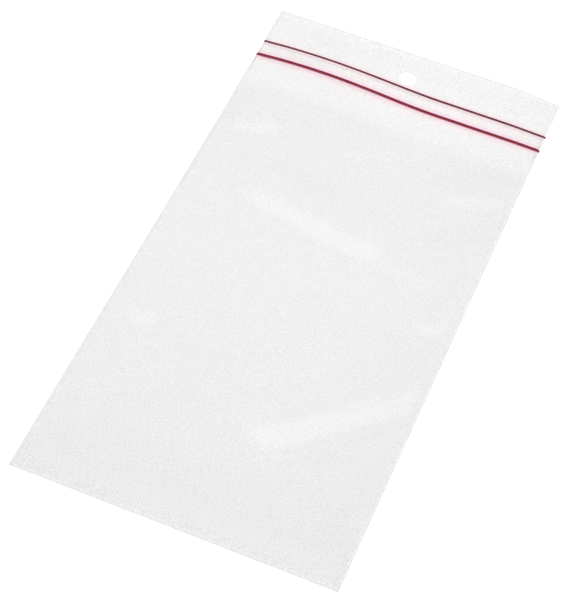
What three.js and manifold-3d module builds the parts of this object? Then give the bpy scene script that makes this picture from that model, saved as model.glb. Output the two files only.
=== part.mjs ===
// A flat clear zipper bag with a red press-seal closure, lying empty on its back wall.
//
// +X is across the bag, +Y runs from the bottom fold to the open lips and +Z is up.
// The origin is on the ground under the middle of the bag. All sizes are in millimetres.
import * as THREE from "three";
import { mergeVertices } from "three/addons/utils/BufferGeometryUtils.js";
import Module from "manifold-3d";

// Film
const bagWidth = 100;
const bagLength = 205;
const filmThickness = 0.05;
const wallGap = 0.1;
const weldWidth = 0.5;

// Hang hole, punched through both lips
const hangHoleDiameter = 6;
const hangHoleDrop = 11.7;
const hangHoleSegments = 32;

// Press-seal closure: a hooked channel on the front wall holds a rib on the back wall
const closureDrop = 23.1;
const closureClearance = 0.05;
const closureEndGap = 0.3;
const channelWidth = 0.8;
const channelHeight = 0.5;
const channelArm = 0.14;
const channelRoof = 0.09;
const channelFootGap = 0.12;
const hookReach = 0.1;
const hookHeight = 0.11;
const hookLeadIn = 0.04;
const stemClearance = 0.06;
const ribPadEdge = 0.04;
const ribPadHeight = 0.09;
const ribTipTaper = 0.1;

// Raised lines above the closure, on the inside of the front wall
const guideRibRise = 6.65;
const guideRibWidth = 0.8;
const guideRibHeight = 0.25;
const guideRibTaper = 0.1;
const clearRibCount = 3;
const clearRibWidth = 0.3;
const clearRibHeight = 0.08;

// How the front wall comes away from the back wall beside the closure
const standoffMargin = 0.3;
const standoffFadeUp = 14;
const standoffFadeDown = 12;

// The closure's bow: it carries both walls off the ground, highest left of the middle
const bowHeight = 0.17;
const bowEndFade = 10;
const bowPeakHeight = 2.15;
const bowPeakX = -26.4;
const bowPeakHalfWidth = 40.3;
const bowFadeDown = 36;

// The lips rise off the ground towards their edge, but not at the corner to the right
const lipLift = 1.25;
const lipCornerFade = 15;

// Soft ridges in the front wall, each along a line from one place to another
const pillowHeight = 0.35;
const sideFade = 5;
const foldFade = 12;
const closureFade = 18;
const ridges = [
  { from: [-33, 29], to: [38, 16], height: 1.05, halfWidth: 13 },
  { from: [-23, 27.5], to: [8, 21.5], height: 0.55, halfWidth: 13 },
  { from: [12, -56], to: [46, -25], height: 1.15, halfWidth: 13 },
  { from: [-49, 49], to: [-37, 54], height: 0.85, halfWidth: 10 },
  { from: [30, 51], to: [48, 57], height: 1.05, halfWidth: 10 },
  { from: [-50, -29], to: [-39, -33.5], height: 0.85, halfWidth: 10 },
  { from: [36, 25], to: [48, 31], height: 1, halfWidth: 9 },
  { from: [40, -2], to: [49, 5], height: 0.8, halfWidth: 9 },
];

// Fineness of the faceted surface
const stationSpacing = 6.6;
const bodyRowSpacing = 7;
const closureRowSpacing = 5;
const sameValue = 1e-6;

// Places that follow from the sizes
const halfWidth = bagWidth / 2;
const cavityHalfWidth = halfWidth - weldWidth;
const closureHalfWidth = cavityHalfWidth - closureEndGap;
const lipY = bagLength / 2;
const foldY = -bagLength / 2;
const closureY = lipY - closureDrop;
const guideRibY = closureY + guideRibRise;
const backInside = filmThickness;
const frontInside = filmThickness + wallGap;
const frontOutside = frontInside + filmThickness;
const foldRadius = frontOutside / 2;
const closureHeight = channelFootGap + channelHeight;
const standoffHeight = closureHeight - wallGap;

const wasm = await Module();
wasm.setup();

// Rises smoothly from 0 at t = 0 to 1 at t = 1
function fade(t) {
  const c = THREE.MathUtils.clamp(t, 0, 1);
  return c * c * (3 - 2 * c);
}

// A round bump: 1 at t = 0 and exactly 0 from t = 1 on, either way
function bump(t) {
  return Math.abs(t) < 1 ? (1 - t * t) ** 2 : 0;
}

// How far both walls together are off the ground
function lift(x, y) {
  const reach = y > closureY ? closureDrop : bowFadeDown;
  const along = bowHeight * fade((halfWidth - Math.abs(x)) / bowEndFade);
  const peak = bowPeakHeight * bump((x - bowPeakX) / bowPeakHalfWidth);
  const awayFromCorner = fade((halfWidth - x) / lipCornerFade);
  const lips = lipLift * awayFromCorner * fade((y - closureY) / closureDrop);
  return (along + peak) * bump((y - closureY) / reach) + lips;
}

// The height of one ridge of the front wall
function ridgeAt(x, y, { from, to, height, halfWidth: reach }) {
  const start = new THREE.Vector3(from[0], from[1], 0);
  const line = new THREE.Line3(start, new THREE.Vector3(to[0], to[1], 0));
  const place = new THREE.Vector3(x, y, 0);
  const nearest = line.closestPointToPoint(place, true, new THREE.Vector3());
  return height * bump(place.distanceTo(nearest) / reach);
}

// How much further the front wall is from the back wall than where they lie together
function standoff(x, y) {
  const away = Math.abs(y - closureY) - channelWidth / 2 - standoffMargin;
  const reach = y > closureY ? standoffFadeUp : standoffFadeDown;
  const atClosure = standoffHeight * (1 - fade(away / reach));
  const pinched = fade((halfWidth - Math.abs(x)) / (halfWidth - closureHalfWidth));
  const free =
    fade((cavityHalfWidth - Math.abs(x)) / sideFade) *
    fade((y - foldY - foldRadius) / foldFade) *
    fade((closureY - y) / closureFade);
  const relief = ridges.reduce((sum, ridge) => sum + ridgeAt(x, y, ridge), pillowHeight);
  return atClosure * pinched + relief * free;
}

// The height of a section's point once the bag is laid down
function laidHeight(x, { y, z, wall }) {
  return z + lift(x, y) + (wall === "front" ? standoff(x, y) : 0);
}

// The height at which the two walls run together at a side
function seamHeight(x, y) {
  return foldRadius + lift(x, y) + standoff(x, y) / 2;
}

// Values from start to end, at most one spacing apart
function evenly(start, end, spacing) {
  const count = Math.max(1, Math.ceil((end - start) / spacing - sameValue));
  return Array.from({ length: count + 1 }, (_, i) => start + ((end - start) * i) / count);
}

// Sorted, with values that lie on each other kept once
function distinct(values) {
  const sorted = [...values].sort((a, b) => a - b);
  return sorted.filter((value, i) => i === 0 || value - sorted[i - 1] > sameValue);
}

// The two long edges of a raised line with its middle at y
function edgesOf(y, width) {
  return [y - width / 2, y + width / 2];
}

const closureStations = evenly(-closureHalfWidth, closureHalfWidth, stationSpacing);
const cavityStations = [-cavityHalfWidth, ...closureStations, cavityHalfWidth];
const filmStations = [-halfWidth, ...cavityStations, halfWidth];

// The clear ribs stand evenly between the closure and the guide rib
const clearRibs = Array.from({ length: clearRibCount }, (_, i) => {
  const y = closureY + (guideRibRise * (i + 1)) / (clearRibCount + 1);
  return edgesOf(y, clearRibWidth);
});

// Rows along the bag that every piece shares, so that pieces in contact share their facets
function sharedRows() {
  const raisedEdges = [
    ...edgesOf(closureY, channelWidth),
    ...edgesOf(guideRibY, guideRibWidth),
    ...clearRibs.flat(),
  ];
  const bowStart = closureY - bowFadeDown;
  const marks = distinct([foldY + foldRadius, bowStart, ...raisedEdges, lipY]);
  const rows = marks.slice(1).flatMap((mark, i) => {
    const spacing = mark > bowStart ? closureRowSpacing : bodyRowSpacing;
    return evenly(marks[i], mark, spacing);
  });
  return distinct(rows);
}

const rows = sharedRows();

// Points along one wall at the shared rows, from one y to another in either direction
function alongWall(fromY, toY, z, wall) {
  const low = Math.min(fromY, toY) - sameValue;
  const high = Math.max(fromY, toY) + sameValue;
  const points = rows.filter((y) => y > low && y < high).map((y) => ({ y, z, wall }));
  return fromY < toY ? points : points.reverse();
}

// The sides of a bar with one section at every station, from the heights at each station.
// The section runs anticlockwise with y to the right and z up. Each facet's diagonal runs
// the same way on every piece, from the lower y to the higher one as x grows.
function sidesOf(section, stations, heightAt) {
  const size = section.length;
  const positions = stations.flatMap((x) =>
    section.flatMap((point) => [x, point.y, heightAt(x, point)]),
  );
  const index = [];
  for (let s = 0; s + 1 < stations.length; s++) {
    for (let p = 0; p < size; p++) {
      const nearA = s * size + p;
      const nearB = s * size + ((p + 1) % size);
      const farA = nearA + size;
      const farB = nearB + size;
      if (section[p].y < section[(p + 1) % size].y) {
        index.push(nearA, nearB, farB, nearA, farB, farA);
      } else {
        index.push(nearA, nearB, farA, nearB, farB, farA);
      }
    }
  }
  return { positions, index };
}

// The triangles that close a section at one station
function capOf(section, x) {
  const outline = section.map((point) => new THREE.Vector2(point.y, laidHeight(x, point)));
  return THREE.ShapeUtils.triangulateShape(outline, []);
}

// An indexed geometry with shared vertices, without the facets that have shrunk to an edge
function geometryFrom(positions, index) {
  const loose = new THREE.BufferGeometry();
  loose.setAttribute("position", new THREE.Float32BufferAttribute(positions, 3));
  loose.setIndex(index);
  const merged = mergeVertices(loose);
  const kept = [];
  for (let i = 0; i < merged.index.count; i += 3) {
    const [a, b, c] = [0, 1, 2].map((corner) => merged.index.getX(i + corner));
    if (a !== b && b !== c && c !== a) {
      kept.push(a, b, c);
    }
  }
  merged.setIndex(kept);
  return merged;
}

// A raised line: one section across the bag, with a flat cut at each end
function barAcross(section, stations) {
  const { positions, index } = sidesOf(section, stations, laidHeight);
  const lastFirst = (stations.length - 1) * section.length;
  for (const [a, b, c] of capOf(section, stations[0])) {
    index.push(a, c, b);
  }
  for (const [a, b, c] of capOf(section, stations[stations.length - 1])) {
    index.push(lastFirst + a, lastFirst + b, lastFirst + c);
  }
  return geometryFrom(positions, index);
}

// Both walls in one section, run together into an edge at each side
function pouchAcross(section, stations) {
  const sideX = stations[stations.length - 1];
  const heightAt = (x, point) =>
    Math.abs(x) === sideX ? seamHeight(x, point.y) : laidHeight(x, point);
  const { positions, index } = sidesOf(section, stations, heightAt);
  return geometryFrom(positions, index);
}

// A closed geometry as a solid that can be joined and cut
function solidOf(geometry) {
  const bare = geometry.clone();
  bare.deleteAttribute("normal");
  bare.deleteAttribute("uv");
  const merged = mergeVertices(bare);
  return new wasm.Manifold(
    new wasm.Mesh({
      numProp: 3,
      vertProperties: merged.getAttribute("position").array,
      triVerts: new Uint32Array(merged.index.array),
    }),
  );
}

// A solid back as a geometry
function geometryOf(solid) {
  const { vertProperties, triVerts } = solid.getMesh();
  const geometry = new THREE.BufferGeometry();
  geometry.setAttribute("position", new THREE.BufferAttribute(vertProperties, 3));
  geometry.setIndex(new THREE.BufferAttribute(triVerts, 1));
  return geometry;
}

// The outside of the bag: back wall, lips' edge, front wall and bottom fold
function outsideSection() {
  return [
    { y: foldY, z: foldRadius, wall: "back" },
    ...alongWall(foldY, lipY, 0, "back"),
    ...alongWall(lipY, foldY, frontOutside, "front"),
  ];
}

// The inside of the bag, open past the lips, with the clear ribs standing into it
function insideSection() {
  const pastLips = lipY + closureRowSpacing;
  const front = alongWall(lipY, foldY, frontInside, "front").flatMap((point) => {
    const ribFoot = { ...point, z: frontInside - clearRibHeight };
    if (clearRibs.some(([, upper]) => Math.abs(upper - point.y) < sameValue)) {
      return [point, ribFoot];
    }
    if (clearRibs.some(([lower]) => Math.abs(lower - point.y) < sameValue)) {
      return [ribFoot, point];
    }
    return [point];
  });
  return [
    ...alongWall(foldY, lipY, backInside, "back"),
    { y: pastLips, z: backInside, wall: "back" },
    { y: pastLips, z: frontInside, wall: "front" },
    ...front,
  ];
}

// One tube of film, folded at the bottom and melted together along both sides
function bagFilm() {
  const outside = solidOf(pouchAcross(outsideSection(), filmStations));
  const inside = solidOf(pouchAcross(insideSection(), cavityStations));
  const tallest = frontOutside + bowHeight + bowPeakHeight + standoffHeight;
  const punchLength = 4 * tallest;
  const radius = hangHoleDiameter / 2;
  const punch = new THREE.CylinderGeometry(radius, radius, punchLength, hangHoleSegments);
  punch.rotateX(Math.PI / 2);
  punch.translate(0, lipY - hangHoleDrop, 0);
  return geometryOf(outside.subtract(inside).subtract(solidOf(punch)));
}

// The hooked channel on the front wall
function closureChannel() {
  const half = channelWidth / 2;
  const inner = half - channelArm;
  const mouth = inner - hookReach;
  const foot = frontInside - channelHeight;
  const hookTop = foot + hookHeight;
  const roof = frontInside - channelRoof;
  const rightArm = [
    [inner, roof],
    [inner, hookTop],
    [mouth, hookTop],
    [mouth, foot + hookLeadIn],
    [mouth + hookLeadIn, foot],
    [half, foot],
  ];
  const leftArm = rightArm.map(([y, z]) => [-y, z]).reverse();
  const hanging = [...leftArm, ...rightArm].map(([y, z]) => ({ y: closureY + y, z, wall: "front" }));
  const root = alongWall(closureY + half, closureY - half, frontInside, "front");
  return barAcross([...hanging, ...root], closureStations);
}

// The arrow-headed rib on the back wall, snapped into the channel
function closureRib() {
  const padHalf = channelWidth / 2;
  const channelInner = padHalf - channelArm;
  const stem = channelInner - hookReach - stemClearance;
  const head = channelInner - closureClearance;
  const padTop = backInside + ribPadHeight;
  const shoulder = backInside + channelFootGap + hookHeight + closureClearance;
  const top = backInside + closureHeight - channelRoof - closureClearance;
  const rightSide = [
    [padHalf, backInside + ribPadEdge],
    [stem, padTop],
    [stem, shoulder],
    [head, shoulder],
    [head, top - ribTipTaper],
    [head - ribTipTaper, top],
  ];
  const leftSide = rightSide.map(([y, z]) => [-y, z]).reverse();
  const standing = [...rightSide, ...leftSide].map(([y, z]) => ({ y: closureY + y, z, wall: "back" }));
  const root = alongWall(closureY - padHalf, closureY + padHalf, backInside, "back");
  return barAcross([...root, ...standing], closureStations);
}

// The thin line above the closure, which shows where to part the lips
function guideRib() {
  const half = guideRibWidth / 2;
  const crest = half - guideRibTaper;
  const foot = frontInside - guideRibHeight;
  const hanging = [
    { y: guideRibY - crest, z: foot, wall: "front" },
    { y: guideRibY + crest, z: foot, wall: "front" },
  ];
  const root = alongWall(guideRibY + half, guideRibY - half, frontInside, "front");
  return barAcross([...hanging, ...root], closureStations);
}

const clearFilm = new THREE.MeshStandardMaterial({
  color: 0xf4f4f4,
  roughness: 0.2,
  metalness: 0,
  transparent: true,
  opacity: 0.3,
});
const crimson = new THREE.MeshStandardMaterial({ color: 0x9c1f33, roughness: 0.35, metalness: 0 });
const maroon = new THREE.MeshStandardMaterial({ color: 0x8a1f30, roughness: 0.4, metalness: 0 });

// One piece of the bag as a named mesh
function piece(name, geometry, material) {
  geometry.computeVertexNormals();
  const mesh = new THREE.Mesh(geometry, material);
  mesh.name = name;
  return mesh;
}

const zipperBag = new THREE.Group();
zipperBag.add(
  piece("bag_film", bagFilm(), clearFilm),
  piece("closure_channel", closureChannel(), crimson),
  piece("closure_rib", closureRib(), crimson),
  piece("guide_rib", guideRib(), maroon),
);

export default zipperBag;
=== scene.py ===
"""A flat clear zipper bag with a red press-seal closure, lying empty on a pale floor."""

import math

import bmesh
import bpy
from mathutils import Matrix, Vector, noise


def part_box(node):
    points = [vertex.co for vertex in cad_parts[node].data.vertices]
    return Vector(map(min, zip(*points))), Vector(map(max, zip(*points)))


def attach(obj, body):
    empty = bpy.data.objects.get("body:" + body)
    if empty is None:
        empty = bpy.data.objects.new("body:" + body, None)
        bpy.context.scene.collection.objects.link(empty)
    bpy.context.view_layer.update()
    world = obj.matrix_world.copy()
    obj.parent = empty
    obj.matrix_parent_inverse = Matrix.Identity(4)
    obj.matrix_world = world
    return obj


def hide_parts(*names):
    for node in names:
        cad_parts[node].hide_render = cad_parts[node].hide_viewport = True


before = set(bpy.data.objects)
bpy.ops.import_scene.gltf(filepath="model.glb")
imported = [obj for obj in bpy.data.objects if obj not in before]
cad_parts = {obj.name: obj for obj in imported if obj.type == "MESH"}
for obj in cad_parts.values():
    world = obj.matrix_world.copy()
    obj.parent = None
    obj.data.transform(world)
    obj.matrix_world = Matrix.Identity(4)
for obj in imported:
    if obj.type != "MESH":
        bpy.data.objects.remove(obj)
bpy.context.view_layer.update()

MM = 0.001

# Places from the frame
film_low, film_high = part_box("bag_film")
channel_low, channel_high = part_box("closure_channel")
guide_low, guide_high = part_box("guide_rib")
HALF_WIDTH = film_high[0]
LIP_Y = film_high[1]
FOLD_Y = film_low[1]
CLOSURE_Y = (channel_low[1] + channel_high[1]) / 2
GUIDE_Y = (guide_low[1] + guide_high[1]) / 2
CLOSURE_DROP = LIP_Y - CLOSURE_Y

# Film
FILM_THICKNESS = 0.05 * MM
WALL_GAP = 0.1 * MM
WELD_WIDTH = 0.5 * MM
CAVITY_HALF_WIDTH = HALF_WIDTH - WELD_WIDTH
FRONT_INSIDE = FILM_THICKNESS + WALL_GAP
FRONT_OUTSIDE = FRONT_INSIDE + FILM_THICKNESS
FOLD_RADIUS = FRONT_OUTSIDE / 2

# Hang hole
HOLE_RADIUS = 3 * MM
HOLE_DROP = 11.7 * MM
HOLE_Y = LIP_Y - HOLE_DROP
HOLE_REACH = 6 * MM
HOLE_STEP = 0.75 * MM

# Press-seal closure
CLOSURE_HALF_WIDTH = channel_high[0]
CHANNEL_WIDTH = 0.8 * MM
CHANNEL_HEIGHT = 0.5 * MM
CHANNEL_ARM = 0.14 * MM
CHANNEL_ROOF = 0.09 * MM
CHANNEL_FOOT_GAP = 0.12 * MM
CLOSURE_CLEARANCE = 0.05 * MM
HOOK_REACH = 0.1 * MM
HOOK_HEIGHT = 0.11 * MM
HOOK_LEAD_IN = 0.04 * MM
STEM_CLEARANCE = 0.06 * MM
RIB_PAD_EDGE = 0.04 * MM
RIB_PAD_HEIGHT = 0.09 * MM
RIB_TIP_TAPER = 0.1 * MM
GUIDE_WIDTH = 0.8 * MM
GUIDE_HEIGHT = 0.25 * MM
GUIDE_TAPER = 0.1 * MM
CLEAR_RIB_COUNT = 3
CLEAR_RIB_WIDTH = 0.5 * MM
CLEAR_RIB_HEIGHT = 0.03 * MM
CLEAR_RIBS = [
    CLOSURE_Y + (GUIDE_Y - CLOSURE_Y) * (i + 1) / (CLEAR_RIB_COUNT + 1)
    for i in range(CLEAR_RIB_COUNT)
]
# How far the raised lines reach into the film they are run together with
SEATING = 0.03 * MM

# How far the closure holds the front wall off, and how that fades away from it
STANDOFF_HEIGHT = CHANNEL_FOOT_GAP + CHANNEL_HEIGHT - WALL_GAP
STANDOFF_MARGIN = 0.3 * MM
STANDOFF_FADE_UP = 14 * MM
STANDOFF_FADE_DOWN = 12 * MM

# The closure's bow, which carries both walls off the ground
BOW_HEIGHT = 0.17 * MM
BOW_END_FADE = 10 * MM
BOW_PEAK_HEIGHT = 2.15 * MM
BOW_PEAK_X = -26.4 * MM
BOW_PEAK_HALF_WIDTH = 40.3 * MM
BOW_FADE_DOWN = 36 * MM

# The lips' rise off the ground towards their edge, but not at the corner to the right
LIP_LIFT = 1.25 * MM
LIP_CORNER_FADE = 15 * MM

# The front wall's low pillow, and how it ends at the sides, the fold and the closure
PILLOW_HEIGHT = 0.35 * MM
SIDE_FADE = 5 * MM
FOLD_FADE = 12 * MM
CLOSURE_FADE = 18 * MM
# Soft ridges in the front wall: from, to, height and half width, in millimetres
RIDGES = [
    ((-33, 29), (38, 16), 1.05, 13),
    ((-23, 27.5), (8, 21.5), 0.55, 13),
    ((12, -56), (46, -25), 1.15, 13),
    ((-49, 49), (-37, 54), 0.85, 10),
    ((30, 51), (48, 57), 1.05, 10),
    ((-50, -29), (-39, -33.5), 0.85, 10),
    ((36, 25), (48, 31), 1, 9),
    ((40, -2), (49, 5), 0.8, 9),
]

# Fineness of the meshes
STATION_STEP = 1.25 * MM
ROW_STEP = 1.5 * MM
CLOSURE_ROW_STEP = 0.75 * MM
LINE_STEP = 1 * MM
FOLD_POINTS = 5
BEAD_RADIUS = 0.1 * MM
BEAD_SIDES = 8
SECTION_STEP = 0.12 * MM
CLEAR_RIB_ROWS = 6
MERGE_DISTANCE = FILM_THICKNESS / 100
SHARP_ANGLE = math.radians(35)
# Share of a step that a stretch may be longer by, so that rounding adds no step
STEP_SLACK = 1e-6
# Below this share of the hole's radius the grid isn't bent
STRAIGHT_SHARE = 0.5

# Fine unevenness of the film
RIPPLE_HEIGHT = 0.05 * MM
RIPPLE_SIZE = 14 * MM

# The raised lines' ends, melted into the welds
WELD_END_STEPS = 3
LEFT_END_LENGTH = 0.75 * MM
RIGHT_END_LENGTH = 1.05 * MM
END_THICKNESS_SHARE = 0.55

# Camera, as in the photograph
CAMERA_AZIMUTH = math.radians(17.17)
CAMERA_ELEVATION = math.radians(51)
CAMERA_ROLL = math.radians(6.38)
CAMERA_DISTANCE = 626.71 * MM
CAMERA_TARGET = Vector((-1.98, -13.82, 0)) * MM
FOCAL_PIXELS = 2062.4
IMAGE_HEIGHT = 600
SENSOR = 36
CLIP_START = 0.05
CLIP_END = 20

# Clear film: its haze, grain, painted shade towards the fold, and gentle waves
FILM_IOR = 1.5
FILM_ROUGHNESS = 0.12
GRAIN_SCALE = 2400
GRAIN_DEPTH = 0.09
GRAIN_DETAIL = 1
# How much light the film lets through at the fold: painted shade, darker towards the fold than
# further up
FOLD_PAINTED_SHADE = 0.978
# From this far up there is no painted shade
PAINTED_SHADE_TOP_Y = 0
# The part of the noise's range that the grain spreads over
GRAIN_LOW = 0.3
GRAIN_HIGH = 0.7
WAVE_SCALE = 220
WAVE_DETAIL = 3
WAVE_STRENGTH = 0.25
WAVE_HEIGHT = 0.05 * MM

# The film is a little darker in a narrow rim, and painted shade darkens it in wide bands by the
# fold and on the right
RIM_WIDTH = 0.45 * MM
RIM_END = 0.75 * MM
BAND_WIDTH = 6 * MM
BAND_END = 30 * MM
SIDE_BAND_WIDTH = 4 * MM
SIDE_BAND_END = 35 * MM
# Axis, edge, way inwards, where the shade starts to fade, where it ends, and the shade
RIMS_AND_SHADE_BANDS = [
    ("X", -HALF_WIDTH, 1, RIM_WIDTH, RIM_END, 0.935),
    ("X", HALF_WIDTH, -1, RIM_WIDTH, RIM_END, 0.97),
    ("Y", FOLD_Y, 1, RIM_WIDTH, RIM_END, 0.985),
    # Bands of painted shade by the fold and on the right
    ("Y", FOLD_Y, 1, BAND_WIDTH, BAND_END, 0.99),
    ("X", HALF_WIDTH, -1, SIDE_BAND_WIDTH, SIDE_BAND_END, 0.99),
    ("Y", LIP_Y, -1, RIM_WIDTH, RIM_END, 0.975),
]

# The film's own grey tone, with a painted pink glow of red light beside the red lines
PAINTED_GLOW_REACH = 16 * MM
# Offset from the closure in millimetres towards the lips, and the film's colour there; the pink
# near both lines is painted glow, the paler film just below the closure is a painted highlight,
# and the film is also paler above the lines
FILM_TONE_AND_PAINTED_GLOW = [
    (-16.0, (0.962, 0.96, 0.96)),
    (-9.0, (0.985, 0.984, 0.984)),
    (-4.2, (0.99, 0.985, 0.984)),
    (-3.0, (1.0, 0.98, 0.977)),
    (-2.3, (1.0, 0.955, 0.967)),
    (-1.5, (1.0, 0.925, 0.957)),
    (-0.9, (1.0, 0.88, 0.95)),
    (0.9, (1.0, 0.88, 0.95)),
    (1.5, (1.0, 0.93, 0.96)),
    (2.3, (1.0, 0.965, 0.972)),
    (3.2, (1.0, 0.99, 0.985)),
    (4.7, (1.0, 0.975, 0.975)),
    (5.6, (1.0, 0.92, 0.95)),
    (7.6, (1.0, 0.92, 0.95)),
    (8.3, (1.0, 0.975, 0.98)),
    (10.0, (0.996, 0.991, 0.991)),
    (16.0, (0.989, 0.986, 0.984)),
]

# Red plastic: how dark the lines are across their width, deeper red in the thick core with
# painted shade there and painted light in the pale thin edges, and their streaks
SHADE = "shade"
CORE_DEPTH = 0.2 * MM
CORE_REACH = 0.38 * MM
GUIDE_CORE_REACH = GUIDE_WIDTH * 0.55
# Where the shade starts to fade and over how far, as shares of the core's reach
CORE_FULL = 0.7
CORE_FADE = 0.9
CLOSURE_EDGE = (1.0, 0.05, 0.17)
CLOSURE_CORE = (0.28, 0.0005, 0.03)
GUIDE_EDGE = (0.95, 0.03, 0.12)
GUIDE_CORE = (0.2, 0.0005, 0.02)
# How far the darkest part of each line sits from its middle, towards the fold, where the painted
# shade is moved
CORE_SHIFT = 0.09 * MM
# The depths at which a line has its edge's colour and its core's
EDGE_AT = 0.05
CORE_AT = 0.8
RED_ROUGHNESS = 0.4
RED_SPECULAR = 0.1
STREAK_SCALE = 900
STREAK_DETAIL = 4
STREAK_SHARE = 0.3
STREAK_STRENGTH = 0.3
STREAK_HEIGHT = 0.03 * MM

# Floor
PAPER = (0.95, 0.95, 0.95, 1)
WHITE = (1, 1, 1, 1)
# The camera sees the white by this strength times the share, which is 0.9, and 1 is white
FLOOR_WHITE = 1.28
FLOOR_WHITE_SHARE = 0.7
FLOOR_SIZE = 6
FLOOR_DROP = 0.15 * MM

# Room and lamp
WALL_LEVEL = 0.6
WALLS_TOP = math.radians(48)
CEILING_LEVEL = 0.45
CEILING_START = math.radians(59)
GLOW_LEVEL = 0.9
GLOW_AZIMUTH = math.radians(17)
GLOW_ELEVATION = math.radians(79)
# How far to either side the glow keeps its strength, and where it ends, as sines
GLOW_MIDDLE = 0.45
GLOW_END = 0.8
GLOW_INNER = math.radians(5)
GLOW_OUTER = math.radians(21)
# The glow ends before the zenith: its low side, and how far above that it starts and stops fading
GLOW_LOW_SIDE = math.radians(60)
GLOW_TOP_START = math.radians(7)
GLOW_TOP_END = math.radians(20)
LAMP_AZIMUTH = math.radians(200)
LAMP_ELEVATION = math.radians(60)
LAMP_DISTANCE = 1.5
LAMP_SIZE = 0.8
LAMP_ENERGY = 6.6


def fade(t):
    """Rises smoothly from 0 at t = 0 to 1 at t = 1."""
    c = min(max(t, 0.0), 1.0)
    return c * c * (3 - 2 * c)


def bump(t):
    """A round bump: 1 at t = 0 and 0 from t = 1 on, either way."""
    return (1 - t * t) ** 2 if abs(t) < 1 else 0.0


def lift(x, y):
    """How far both walls together are off the ground."""
    reach = CLOSURE_DROP if y > CLOSURE_Y else BOW_FADE_DOWN
    along = BOW_HEIGHT * fade((HALF_WIDTH - abs(x)) / BOW_END_FADE)
    peak = BOW_PEAK_HEIGHT * bump((x - BOW_PEAK_X) / BOW_PEAK_HALF_WIDTH)
    away_from_corner = fade((HALF_WIDTH - x) / LIP_CORNER_FADE)
    lips = LIP_LIFT * away_from_corner * fade((y - CLOSURE_Y) / CLOSURE_DROP)
    return (along + peak) * bump((y - CLOSURE_Y) / reach) + lips


def ridge_at(x, y, ridge):
    """The height of one ridge of the front wall."""
    start, end, height, half_width = ridge
    a = Vector(start) * MM
    b = Vector(end) * MM
    place = Vector((x, y))
    along = (place - a).dot(b - a) / (b - a).length_squared
    nearest = a + (b - a) * min(max(along, 0.0), 1.0)
    return height * MM * bump((place - nearest).length / (half_width * MM))


def standoff(x, y):
    """How much further the front wall is from the back wall than where they lie together."""
    away = abs(y - CLOSURE_Y) - CHANNEL_WIDTH / 2 - STANDOFF_MARGIN
    reach = STANDOFF_FADE_UP if y > CLOSURE_Y else STANDOFF_FADE_DOWN
    at_closure = STANDOFF_HEIGHT * (1 - fade(away / reach))
    pinched = fade((HALF_WIDTH - abs(x)) / (HALF_WIDTH - CLOSURE_HALF_WIDTH))
    free = (
        fade((CAVITY_HALF_WIDTH - abs(x)) / SIDE_FADE)
        * fade((y - FOLD_Y - FOLD_RADIUS) / FOLD_FADE)
        * fade((CLOSURE_Y - y) / CLOSURE_FADE)
    )
    ripple = RIPPLE_HEIGHT * noise.noise(Vector((x, y, 0)) / RIPPLE_SIZE)
    relief = PILLOW_HEIGHT + ripple + sum(ridge_at(x, y, r) for r in RIDGES)
    return at_closure * pinched + relief * free


def seam_height(x, y):
    """The height at which the two walls run together at a side."""
    return FOLD_RADIUS + lift(x, y) + standoff(x, y) / 2


def laid(x, y, z, wall):
    """A point of a section once the bag is laid down."""
    return Vector((x, y, z + lift(x, y) + (standoff(x, y) if wall == "front" else 0)))


def evenly(start, end, step):
    """Values from start to end, at most one step apart."""
    count = max(1, math.ceil((end - start) / step - STEP_SLACK))
    return [start + (end - start) * i / count for i in range(count + 1)]


def through(marks, step_at):
    """Values through all the marks, with the step that step_at gives for each stretch."""
    values = [marks[0]]
    for start, end in zip(marks, marks[1:]):
        values += evenly(start, end, step_at((start + end) / 2))[1:]
    return values


def mesh_object(name, bm, material):
    """A mesh object from bmesh data, smooth apart from its sharp edges, riding on the bag."""
    bmesh.ops.recalc_face_normals(bm, faces=bm.faces)
    for face in bm.faces:
        face.smooth = True
    for edge in bm.edges:
        if edge.is_manifold and edge.calc_face_angle() > SHARP_ANGLE:
            edge.smooth = False
    mesh = bpy.data.meshes.new(name)
    bm.to_mesh(mesh)
    bm.free()
    mesh.materials.append(material)
    obj = bpy.data.objects.new(name, mesh)
    bpy.context.scene.collection.objects.link(obj)
    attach(obj, "root")
    return obj


def round_hole(x, y):
    """Moves a grid point so that the grid's lines bend round the hang hole."""
    dx = x
    dy = y - HOLE_Y
    square = max(abs(dx), abs(dy))
    if square < HOLE_RADIUS * STRAIGHT_SHARE or square >= HOLE_REACH:
        return x, y
    on_circle = square / math.hypot(dx, dy)
    share = fade((HOLE_REACH - square) / (HOLE_REACH - HOLE_RADIUS))
    scale = 1 + (on_circle - 1) * share
    return dx * scale, HOLE_Y + dy * scale


def clear_rib_at(y):
    """How far the clear ribs between the red lines stand off the front wall's inner face."""
    half = CLEAR_RIB_WIDTH / 2
    return CLEAR_RIB_HEIGHT * max(bump((y - rib_y) / half) for rib_y in CLEAR_RIBS)


def film_rows():
    """Rows from the fold to the lips, finer round the hole, the closure and the clear ribs."""
    marks = [
        FOLD_Y + FOLD_RADIUS,
        CLOSURE_Y - STANDOFF_FADE_DOWN,
        *(y + side * CLEAR_RIB_WIDTH / 2 for y in CLEAR_RIBS for side in (-1, 1)),
        HOLE_Y - HOLE_REACH,
        HOLE_Y + HOLE_REACH,
        LIP_Y,
    ]
    marks.sort()

    def step(y):
        if clear_rib_at(y) > 0:
            return CLEAR_RIB_WIDTH / CLEAR_RIB_ROWS
        return ROW_STEP if y < marks[1] else CLOSURE_ROW_STEP

    return through(marks, step)


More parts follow.
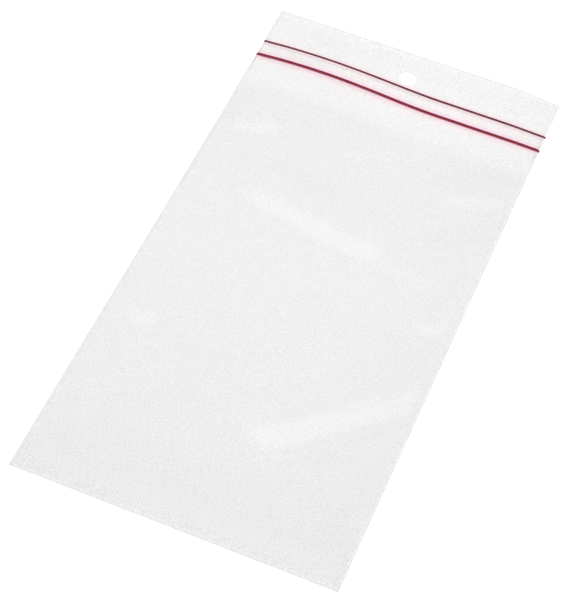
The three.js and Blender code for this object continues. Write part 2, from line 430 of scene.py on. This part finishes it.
def film_stations():
    """Places across the bag, finer round the hole, with one more outside each weld."""
    marks = [
        -CAVITY_HALF_WIDTH,
        -CLOSURE_HALF_WIDTH,
        -HOLE_REACH,
        HOLE_REACH,
        CLOSURE_HALF_WIDTH,
        CAVITY_HALF_WIDTH,
    ]

    def step(x):
        return HOLE_STEP if abs(x) < HOLE_REACH else STATION_STEP

    return [-HALF_WIDTH, *through(marks, step), HALF_WIDTH]


def film_chain(rows, outside):
    """One line round the bag from the back lip over the fold to the front lip."""
    back_z = 0 if outside else FILM_THICKNESS
    front_z = FRONT_OUTSIDE if outside else FRONT_INSIDE
    radius = (front_z - back_z) / 2
    chain = [(y, back_z, "back") for y in reversed(rows)]
    for i in range(1, FOLD_POINTS):
        turn = math.pi * i / FOLD_POINTS
        z = FOLD_RADIUS - radius * math.cos(turn)
        chain.append((rows[0] - radius * math.sin(turn), z, "back"))
    return chain + [(y, front_z, "front") for y in rows]


def film_point(x, point, outside):
    """A point of the film's outer or inner face."""
    y, z, wall = point
    side = HALF_WIDTH if outside else CAVITY_HALF_WIDTH
    at_x = min(max(x, -side), side)
    if abs(x) >= side:
        return Vector((at_x, y, seam_height(at_x, y)))
    bent_x, bent_y = round_hole(at_x, y)
    if wall == "front" and not outside:
        z -= clear_rib_at(bent_y)
    return laid(bent_x, bent_y, z, wall)


def film_mesh():
    """The film as one closed thin solid: outer face, inner face and the rims between them."""
    rows = film_rows()
    stations = film_stations()
    bm = bmesh.new()
    faces = {}
    for outside in (True, False):
        chain = film_chain(rows, outside)
        grid = [[bm.verts.new(film_point(x, p, outside)) for p in chain] for x in stations]
        faces[outside] = grid
    outer = faces[True]
    inner = faces[False]
    chain = film_chain(rows, True)

    def in_hole(s, k):
        x = (stations[s] + stations[s + 1]) / 2
        y = (chain[k][0] + chain[k + 1][0]) / 2
        return max(abs(x), abs(y - HOLE_Y)) < HOLE_RADIUS

    cells = {
        (s, k)
        for s in range(len(stations) - 1)
        for k in range(len(chain) - 1)
        if not in_hole(s, k)
    }
    for s, k in cells:
        bm.faces.new((outer[s][k], outer[s + 1][k], outer[s + 1][k + 1], outer[s][k + 1]))
        bm.faces.new((inner[s][k + 1], inner[s + 1][k + 1], inner[s + 1][k], inner[s][k]))
    steps = {
        (-1, 0): ((0, 0), (0, 1)),
        (1, 0): ((1, 0), (1, 1)),
        (0, -1): ((0, 0), (1, 0)),
        (0, 1): ((0, 1), (1, 1)),
    }
    last = len(stations) - 1
    for s, k in cells:
        for (ds, dk), (a, b) in steps.items():
            beside = (s + ds, k + dk)
            at_side = beside[0] < 0 or beside[0] >= last
            if beside in cells or at_side:
                continue
            p = (s + a[0], k + a[1])
            q = (s + b[0], k + b[1])
            rim = (outer[p[0]][p[1]], outer[q[0]][q[1]], inner[q[0]][q[1]], inner[p[0]][p[1]])
            bm.faces.new(rim)
    bmesh.ops.remove_doubles(bm, verts=bm.verts, dist=MERGE_DISTANCE)
    loose = [v for v in bm.verts if not v.link_faces]
    bmesh.ops.delete(bm, geom=loose, context="VERTS")
    return bm


def subdivided(section):
    """The section with more points along its sides, so that its shading can vary there."""
    points = []
    for (y, z, wall), (next_y, next_z, _) in zip(section, section[1:] + section[:1]):
        steps = max(1, round(math.hypot(next_y - y, next_z - z) / SECTION_STEP))
        for i in range(steps):
            share = i / steps
            points.append((y + (next_y - y) * share, z + (next_z - z) * share, wall))
    return points


def sweep_mesh(section, stations, height_at, core):
    """A closed bar with one section at every station. The attribute tells how dark it is.

    The core is the middle of the line's dark part in the section, with its half width.
    """
    bm = bmesh.new()
    section = subdivided(section)
    shade = bm.verts.layers.float.new(SHADE)
    core_y, core_z, core_reach = core
    rings = []
    for x in stations:
        ring = []
        for y, z, wall in section:
            vert = bm.verts.new(height_at(x, y, z, wall))
            away = math.hypot(y - core_y, z - core_z) / core_reach
            # Painted shade towards the core, painted light at the pale edges
            vert[shade] = 1 - fade((away - CORE_FULL) / CORE_FADE)
            ring.append(vert)
        rings.append(ring)
    size = len(section)
    for near, far in zip(rings, rings[1:]):
        for i in range(size):
            j = (i + 1) % size
            bm.faces.new((near[i], near[j], far[j], far[i]))
    bm.faces.new(list(reversed(rings[0])))
    bm.faces.new(rings[-1])
    return bm


def line_stations():
    """Places across the bag for the raised lines, with their melted ends."""
    ends = WELD_END_STEPS
    inner = evenly(-CLOSURE_HALF_WIDTH, CLOSURE_HALF_WIDTH, LINE_STEP)
    left = [-CLOSURE_HALF_WIDTH - LEFT_END_LENGTH * i / ends for i in range(ends, 0, -1)]
    right = [CLOSURE_HALF_WIDTH + RIGHT_END_LENGTH * i / ends for i in range(1, ends + 1)]
    return left + inner + right


def pressed_flat(x, y, z, wall):
    """A raised line's point: true inside the bag, and pressed flat where it melts into a weld."""
    inside_x = min(max(x, -CLOSURE_HALF_WIDTH), CLOSURE_HALF_WIDTH)
    point = laid(inside_x, y, z, wall)
    past = (abs(x) - abs(inside_x)) / RIGHT_END_LENGTH
    keep = 1 - (1 - END_THICKNESS_SHARE) * fade(past)
    middle = seam_height(min(max(x, -HALF_WIDTH), HALF_WIDTH), y)
    height = middle + (point.z - seam_height(inside_x, y)) * keep
    return Vector((x, y, height if past > 0 else point.z))


def mirrored(side):
    """A section's half as the other half."""
    return [(-y, z) for y, z in reversed(side)]


def channel_section():
    """The hooked channel under the front wall."""
    half = CHANNEL_WIDTH / 2
    inner = half - CHANNEL_ARM
    mouth = inner - HOOK_REACH
    foot = FRONT_INSIDE - CHANNEL_HEIGHT
    hook_top = foot + HOOK_HEIGHT
    roof = FRONT_INSIDE - CHANNEL_ROOF
    right = [
        (inner, roof),
        (inner, hook_top),
        (mouth, hook_top),
        (mouth, foot + HOOK_LEAD_IN),
        (mouth + HOOK_LEAD_IN, foot),
        (half, foot),
    ]
    root = FRONT_INSIDE + SEATING
    outline = [*mirrored(right), *right, (half, root), (-half, root)]
    return [(CLOSURE_Y + y, z, "front") for y, z in outline]


def rib_section():
    """The arrow-headed rib on the back wall."""
    half = CHANNEL_WIDTH / 2
    channel_inner = half - CHANNEL_ARM
    stem = channel_inner - HOOK_REACH - STEM_CLEARANCE
    head = channel_inner - CLOSURE_CLEARANCE
    base = FILM_THICKNESS
    seat = base - SEATING
    shoulder = base + CHANNEL_FOOT_GAP + HOOK_HEIGHT + CLOSURE_CLEARANCE
    top = base + CHANNEL_FOOT_GAP + CHANNEL_HEIGHT - CHANNEL_ROOF - CLOSURE_CLEARANCE
    right = [
        (half, seat),
        (half, base + RIB_PAD_EDGE),
        (stem, base + RIB_PAD_HEIGHT),
        (stem, shoulder),
        (head, shoulder),
        (head, top - RIB_TIP_TAPER),
        (head - RIB_TIP_TAPER, top),
    ]
    return [(CLOSURE_Y + y, z, "back") for y, z in [*right, *mirrored(right)]]


def hanging_rib_section(y, width, height, taper):
    """A plain raised line under the front wall."""
    half = width / 2
    crest = half - taper
    foot = FRONT_INSIDE - height
    root = FRONT_INSIDE + SEATING
    outline = [(-crest, foot), (crest, foot), (half, root), (-half, root)]
    return [(y + dy, z, "front") for dy, z in outline]


def bead_mesh(side):
    """The rounded bead of melted film along one side weld."""
    bm = bmesh.new()
    rings = []
    rows = evenly(FOLD_Y + FOLD_RADIUS, LIP_Y, ROW_STEP)
    for y in rows:
        centre = Vector((side * (HALF_WIDTH - BEAD_RADIUS), y, seam_height(side * HALF_WIDTH, y)))
        centre.z = max(centre.z, BEAD_RADIUS)
        ring = []
        for i in range(BEAD_SIDES):
            turn = 2 * math.pi * i / BEAD_SIDES
            around = Vector((math.cos(turn), 0, math.sin(turn))) * BEAD_RADIUS
            ring.append(bm.verts.new(centre + around))
        rings.append(ring)
    for near, far in zip(rings, rings[1:]):
        for i in range(BEAD_SIDES):
            j = (i + 1) % BEAD_SIDES
            bm.faces.new((near[i], near[j], far[j], far[i]))
    bm.faces.new(rings[0])
    bm.faces.new(list(reversed(rings[-1])))
    return bm


def new_material(name):
    """An empty node material and its node tree."""
    material = bpy.data.materials.new(name)
    material.use_nodes = True
    material.node_tree.nodes.clear()
    return material, material.node_tree


def add(tree, kind, **properties):
    """A node with some of its properties set."""
    node = tree.nodes.new(kind)
    for name, value in properties.items():
        setattr(node, name, value)
    return node


def set_inputs(node, values):
    """Sets a node's inputs by their names."""
    for name, value in values.items():
        node.inputs[name].default_value = value


def remap(tree, value, from_range, to_range=(0, 1), curve="LINEAR"):
    """A value carried from one range to another and kept within it."""
    node = add(tree, "ShaderNodeMapRange", interpolation_type=curve)
    set_inputs(node, {"From Min": from_range[0], "From Max": from_range[1]})
    set_inputs(node, {"To Min": to_range[0], "To Max": to_range[1]})
    tree.links.new(value, node.inputs["Value"])
    return node.outputs[0]


def combine(tree, operation, first, second):
    """Two values taken together by one operation. The second may be a plain number."""
    node = add(tree, "ShaderNodeMath", operation=operation)
    tree.links.new(first, node.inputs[0])
    if isinstance(second, (int, float)):
        node.inputs[1].default_value = second
    else:
        tree.links.new(second, node.inputs[1])
    return node.outputs[0]


def noise_at(tree, coordinates, scale, detail):
    """Fine unevenness in the object's own coordinates."""
    node = add(tree, "ShaderNodeTexNoise")
    set_inputs(node, {"Scale": scale, "Detail": detail})
    tree.links.new(coordinates.outputs["Object"], node.inputs["Vector"])
    return node.outputs["Fac"]


def relief(tree, height, strength, distance):
    """A normal that follows a height."""
    node = add(tree, "ShaderNodeBump")
    set_inputs(node, {"Strength": strength, "Distance": distance})
    tree.links.new(height, node.inputs["Height"])
    return node.outputs[0]


def fill_ramp(ramp, stops):
    """Sets a colour ramp's stops from offsets in millimetres within the reach of the film's tone
    and painted glow.
    """
    reach = PAINTED_GLOW_REACH / MM
    first, *middle, last = stops
    ramp.elements[0].position = 0
    ramp.elements[0].color = (*first[1], 1)
    ramp.elements[1].position = 1
    ramp.elements[1].color = (*last[1], 1)
    for offset, colour in middle:
        element = ramp.elements.new((offset + reach) / (2 * reach))
        element.color = (*colour, 1)


def film_tone_and_painted_glow(tree, place):
    """The film's colour: its own grey tone, with a painted pink glow of red light beside the red
    lines and a painted highlight just below the closure.
    """
    tint = add(tree, "ShaderNodeValToRGB")
    fill_ramp(tint.color_ramp, FILM_TONE_AND_PAINTED_GLOW)
    reach = (CLOSURE_Y - PAINTED_GLOW_REACH, CLOSURE_Y + PAINTED_GLOW_REACH)
    tree.links.new(remap(tree, place.outputs["Y"], reach), tint.inputs[0])
    return tint.outputs[0]


def film_haze_and_painted_shade(tree, coordinates, place):
    """How much of the light passes: less in the grain and in the rims, with painted shade towards
    the fold and in bands by the fold and on the right.
    """
    grain = noise_at(tree, coordinates, GRAIN_SCALE, GRAIN_DETAIL)
    mottling = remap(tree, grain, (GRAIN_LOW, GRAIN_HIGH), (1 - GRAIN_DEPTH, 1))
    # Painted shade: the film darker towards the fold
    fold_shade = remap(tree, place.outputs["Y"], (FOLD_Y, PAINTED_SHADE_TOP_Y), (FOLD_PAINTED_SHADE, 1))
    haze_and_shade = combine(tree, "MULTIPLY", mottling, fold_shade)
    # Darker narrow rims, and wide bands of painted shade by the fold and on the right
    for axis, edge, inward, start, end, shade in RIMS_AND_SHADE_BANDS:
        span = (edge + inward * start, edge + inward * end)
        rim = remap(tree, place.outputs[axis], span, (shade, 1))
        haze_and_shade = combine(tree, "MULTIPLY", haze_and_shade, rim)
    return haze_and_shade


def film_material():
    """Clear polyethylene, slightly hazy and grainy, with painted shade towards the fold and on
    the right, and a painted pink glow beside the red lines.
    """
    material, tree = new_material("clear_film")
    link = tree.links.new
    output = add(tree, "ShaderNodeOutputMaterial")
    shader = add(tree, "ShaderNodeBsdfPrincipled")
    shader.inputs["Transmission Weight"].default_value = 1
    shader.inputs["IOR"].default_value = FILM_IOR
    shader.inputs["Roughness"].default_value = FILM_ROUGHNESS
    coordinates = add(tree, "ShaderNodeTexCoord")
    place = add(tree, "ShaderNodeSeparateXYZ")
    link(coordinates.outputs["Object"], place.inputs[0])
    hazed_and_shaded = add(tree, "ShaderNodeMix", data_type="RGBA", blend_type="MULTIPLY")
    hazed_and_shaded.inputs[0].default_value = 1
    # The film's tone with its painted pink glow and painted highlight
    link(film_tone_and_painted_glow(tree, place), hazed_and_shaded.inputs[6])
    link(film_haze_and_painted_shade(tree, coordinates, place), hazed_and_shaded.inputs[7])
    link(hazed_and_shaded.outputs[2], shader.inputs["Base Color"])
    waves = noise_at(tree, coordinates, WAVE_SCALE, WAVE_DETAIL)
    link(relief(tree, waves, WAVE_STRENGTH, WAVE_HEIGHT), shader.inputs["Normal"])
    link(shader.outputs[0], output.inputs[0])
    return material


def red_material(name, edge, core):
    """Tinted polyethylene, deeper red where the line is thickest with painted shade in its core,
    and paler at its thin edges by painted light.
    """
    material, tree = new_material(name)
    link = tree.links.new
    output = add(tree, "ShaderNodeOutputMaterial")
    shader = add(tree, "ShaderNodeBsdfPrincipled")
    shader.inputs["Roughness"].default_value = RED_ROUGHNESS
    shader.inputs["Specular IOR Level"].default_value = RED_SPECULAR
    coordinates = add(tree, "ShaderNodeTexCoord")
    shade = add(tree, "ShaderNodeAttribute", attribute_name=SHADE)
    streaks = noise_at(tree, coordinates, STREAK_SCALE, STREAK_DETAIL)
    streaked = combine(tree, "MULTIPLY", streaks, STREAK_SHARE)
    wobble = combine(tree, "SUBTRACT", streaked, STREAK_SHARE / 2)
    depth = combine(tree, "ADD", shade.outputs["Fac"], wobble)
    ramp = add(tree, "ShaderNodeValToRGB")
    ramp.color_ramp.elements[0].position = EDGE_AT
    ramp.color_ramp.elements[0].color = (*edge, 1)
    ramp.color_ramp.elements[1].position = CORE_AT
    ramp.color_ramp.elements[1].color = (*core, 1)
    link(depth, ramp.inputs[0])
    link(ramp.outputs[0], shader.inputs["Base Color"])
    link(relief(tree, streaks, STREAK_STRENGTH, STREAK_HEIGHT), shader.inputs["Normal"])
    link(shader.outputs[0], output.inputs[0])
    return material


def floor_material():
    """White paper that the camera sees almost evenly lit, with the bag's shadow kept."""
    material, tree = new_material("floor_white")
    link = tree.links.new
    output = add(tree, "ShaderNodeOutputMaterial")
    paper = add(tree, "ShaderNodeBsdfDiffuse")
    paper.inputs["Color"].default_value = PAPER
    white = add(tree, "ShaderNodeEmission")
    white.inputs["Color"].default_value = WHITE
    white.inputs["Strength"].default_value = FLOOR_WHITE
    path = add(tree, "ShaderNodeLightPath")
    straight = path.outputs["Is Camera Ray"]
    through_film = path.outputs["Is Transmission Ray"]
    seen = combine(tree, "MAXIMUM", straight, through_film)
    shown = combine(tree, "MAXIMUM", seen, path.outputs["Is Glossy Ray"])
    share = combine(tree, "MULTIPLY", shown, FLOOR_WHITE_SHARE)
    mix = add(tree, "ShaderNodeMixShader")
    link(share, mix.inputs[0])
    link(paper.outputs[0], mix.inputs[1])
    link(white.outputs[0], mix.inputs[2])
    link(mix.outputs[0], output.inputs[0])
    return material


def make_floor():
    """A large pale floor just under the bag."""
    bm = bmesh.new()
    bmesh.ops.create_grid(bm, x_segments=1, y_segments=1, size=FLOOR_SIZE)
    mesh = bpy.data.meshes.new("floor")
    bm.to_mesh(mesh)
    bm.free()
    mesh.materials.append(floor_material())
    floor = bpy.data.objects.new("floor", mesh)
    floor.location.z = -FLOOR_DROP
    bpy.context.scene.collection.objects.link(floor)


def direction(azimuth, elevation):
    """A unit vector: azimuth is counted from +Y towards -X."""
    flat = math.cos(elevation)
    return Vector((-math.sin(azimuth) * flat, math.cos(azimuth) * flat, math.sin(elevation)))


def vector_step(tree, operation, first, second=None):
    """One vector operation. The second vector may be a plain one, or left out."""
    node = add(tree, "ShaderNodeVectorMath", operation=operation)
    tree.links.new(first, node.inputs[0])
    if isinstance(second, Vector):
        node.inputs[1].default_value = second
    elif second is not None:
        tree.links.new(second, node.inputs[1])
    return node


def room_glow(tree, coordinates):
    """The level of a soft strip of light on the ceiling, by the direction looked in."""
    aimed = coordinates.outputs["Generated"]
    strip = Vector((math.cos(GLOW_AZIMUTH), math.sin(GLOW_AZIMUTH), 0))
    along = vector_step(tree, "DOT_PRODUCT", aimed, strip).outputs["Value"]
    sideways = add(tree, "ShaderNodeVectorMath", operation="SCALE")
    sideways.inputs[0].default_value = strip
    tree.links.new(along, sideways.inputs["Scale"])
    across = vector_step(tree, "SUBTRACT", aimed, sideways.outputs[0])
    flat = vector_step(tree, "NORMALIZE", across.outputs[0])
    middle = direction(GLOW_AZIMUTH, GLOW_ELEVATION)
    aim = vector_step(tree, "DOT_PRODUCT", flat.outputs[0], middle).outputs["Value"]
    width = (math.cos(GLOW_OUTER), math.cos(GLOW_INNER))
    nearness = remap(tree, aim, width, (0, GLOW_LEVEL), "SMOOTHSTEP")
    low_side = direction(GLOW_AZIMUTH, GLOW_LOW_SIDE)
    low = vector_step(tree, "DOT_PRODUCT", flat.outputs[0], low_side).outputs["Value"]
    top = (math.cos(GLOW_TOP_END), math.cos(GLOW_TOP_START))
    below = remap(tree, low, top, curve="SMOOTHSTEP")
    shaped = combine(tree, "MULTIPLY", nearness, below)
    offset = add(tree, "ShaderNodeMath", operation="ABSOLUTE")
    tree.links.new(along, offset.inputs[0])
    length = remap(tree, offset.outputs[0], (GLOW_END, GLOW_MIDDLE), curve="SMOOTHSTEP")
    return combine(tree, "MULTIPLY", shaped, length)


def room_walls(tree, coordinates):
    """The level of the walls and the ceiling, by the direction looked in."""
    height = add(tree, "ShaderNodeSeparateXYZ")
    tree.links.new(coordinates.outputs["Generated"], height.inputs[0])
    heights = (math.sin(WALLS_TOP), math.sin(CEILING_START))
    levels = (WALL_LEVEL, CEILING_LEVEL)
    return remap(tree, height.outputs["Z"], heights, levels, "SMOOTHSTEP")


def make_world():
    """An even pale room, white where the camera sees it past the floor."""
    world = bpy.data.worlds.new("studio")
    bpy.context.scene.world = world
    world.use_nodes = True
    tree = world.node_tree
    tree.nodes.clear()
    link = tree.links.new
    output = add(tree, "ShaderNodeOutputWorld")
    room = add(tree, "ShaderNodeBackground")
    white = add(tree, "ShaderNodeBackground")
    white.inputs["Color"].default_value = WHITE
    coordinates = add(tree, "ShaderNodeTexCoord")
    walls = room_walls(tree, coordinates)
    glow = room_glow(tree, coordinates)
    link(combine(tree, "ADD", walls, glow), room.inputs["Color"])
    path = add(tree, "ShaderNodeLightPath")
    mix = add(tree, "ShaderNodeMixShader")
    link(path.outputs["Is Camera Ray"], mix.inputs[0])
    link(room.outputs[0], mix.inputs[1])
    link(white.outputs[0], mix.inputs[2])
    link(mix.outputs[0], output.inputs[0])


def make_lamp():
    """One soft lamp on the camera's side, away from where the flat film would mirror it."""
    light = bpy.data.lights.new("lamp", "AREA")
    light.shape = "SQUARE"
    light.size = LAMP_SIZE
    light.energy = LAMP_ENERGY
    lamp = bpy.data.objects.new("lamp", light)
    towards = direction(LAMP_AZIMUTH, LAMP_ELEVATION)
    lamp.location = towards * LAMP_DISTANCE
    lamp.rotation_euler = towards.to_track_quat("Z", "Y").to_euler()
    bpy.context.scene.collection.objects.link(lamp)


def make_camera():
    """The camera at the photograph's place and angle."""
    data = bpy.data.cameras.new("camera")
    data.sensor_width = SENSOR
    data.lens = FOCAL_PIXELS * SENSOR / IMAGE_HEIGHT
    data.clip_start = CLIP_START
    data.clip_end = CLIP_END
    camera = bpy.data.objects.new("camera", data)
    flat = math.cos(CAMERA_ELEVATION)
    back = Vector(
        (
            math.sin(CAMERA_AZIMUTH) * flat,
            -math.cos(CAMERA_AZIMUTH) * flat,
            math.sin(CAMERA_ELEVATION),
        )
    )
    level = Vector((math.cos(CAMERA_AZIMUTH), math.sin(CAMERA_AZIMUTH), 0))
    above = back.cross(level)
    right = level * math.cos(CAMERA_ROLL) + above * math.sin(CAMERA_ROLL)
    up = above * math.cos(CAMERA_ROLL) - level * math.sin(CAMERA_ROLL)
    turn = Matrix((right, up, back)).transposed().to_4x4()
    camera.matrix_world = Matrix.Translation(CAMERA_TARGET + back * CAMERA_DISTANCE) @ turn
    bpy.context.scene.collection.objects.link(camera)
    bpy.context.scene.camera = camera


def make_bag():
    """Every piece of the bag, each in place of its plain solid."""
    clear = film_material()
    closure_red = red_material("closure_red", CLOSURE_EDGE, CLOSURE_CORE)
    guide_red = red_material("guide_red", GUIDE_EDGE, GUIDE_CORE)
    # Where each line's painted shade is darkest, moved towards the fold for the closure and the
    # guide
    closure_core = (CLOSURE_Y - CORE_SHIFT, FRONT_INSIDE - CORE_DEPTH, CORE_REACH)
    rib_core = (CLOSURE_Y, FILM_THICKNESS + CHANNEL_HEIGHT, CORE_REACH)
    guide_core = (GUIDE_Y - CORE_SHIFT, FRONT_INSIDE, GUIDE_CORE_REACH)
    stations = line_stations()
    inside = evenly(-CLOSURE_HALF_WIDTH, CLOSURE_HALF_WIDTH, LINE_STEP)

    film = mesh_object("film", film_mesh(), clear)
    film.visible_shadow = False
    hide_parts("bag_film")

    channel_bars = sweep_mesh(channel_section(), stations, pressed_flat, closure_core)
    channel = mesh_object("channel", channel_bars, closure_red)
    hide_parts("closure_channel")

    rib_bars = sweep_mesh(rib_section(), inside, laid, rib_core)
    rib = mesh_object("rib", rib_bars, closure_red)
    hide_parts("closure_rib")

    guide_outline = hanging_rib_section(GUIDE_Y, GUIDE_WIDTH, GUIDE_HEIGHT, GUIDE_TAPER)
    guide_bars = sweep_mesh(guide_outline, stations, pressed_flat, guide_core)
    guide = mesh_object("guide_line", guide_bars, guide_red)
    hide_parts("guide_rib")

    for name, side in (("left", -1), ("right", 1)):
        mesh_object(f"weld_bead_{name}", bead_mesh(side), clear)


bpy.context.scene.view_settings.view_transform = "Standard"
make_bag()
make_floor()
make_world()
make_lamp()
make_camera()
